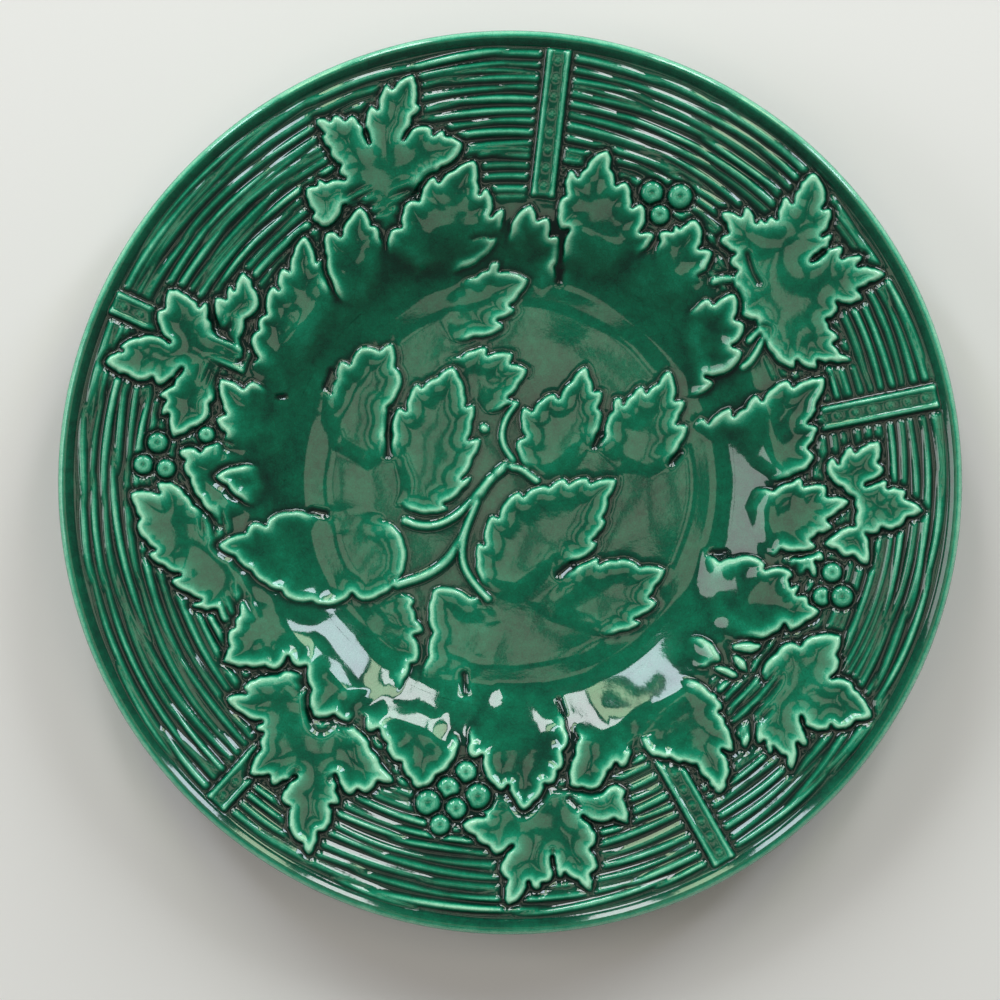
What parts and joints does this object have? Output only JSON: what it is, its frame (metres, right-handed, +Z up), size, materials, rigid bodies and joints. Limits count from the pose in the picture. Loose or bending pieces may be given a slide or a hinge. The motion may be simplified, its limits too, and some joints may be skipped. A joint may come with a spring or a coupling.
{
  "type": "vine leaf relief plate",
  "caption": "Round green-glazed earthenware dessert plate with moulded vine leaves, small grape clusters and a wicker-pattern rim, on a low foot ring.",
  "frame": {"origin": "centre of the foot ring, on the plane that the plate rests on", "axes": "+Z up through the plate's centre, out of its decorated face; +Y to the top of the decoration as it is shown, +X to its right"},
  "size_m": [0.225, 0.225, 0.0243],
  "materials": {
    "green_glaze": "deep green lead-style gloss glaze, thin and pale on raised edges, pooled dark in the hollows, finely crazed"
  },
  "bodies": {
    "root": {"plate": "green_glaze"}
  },
  "joints": []
}
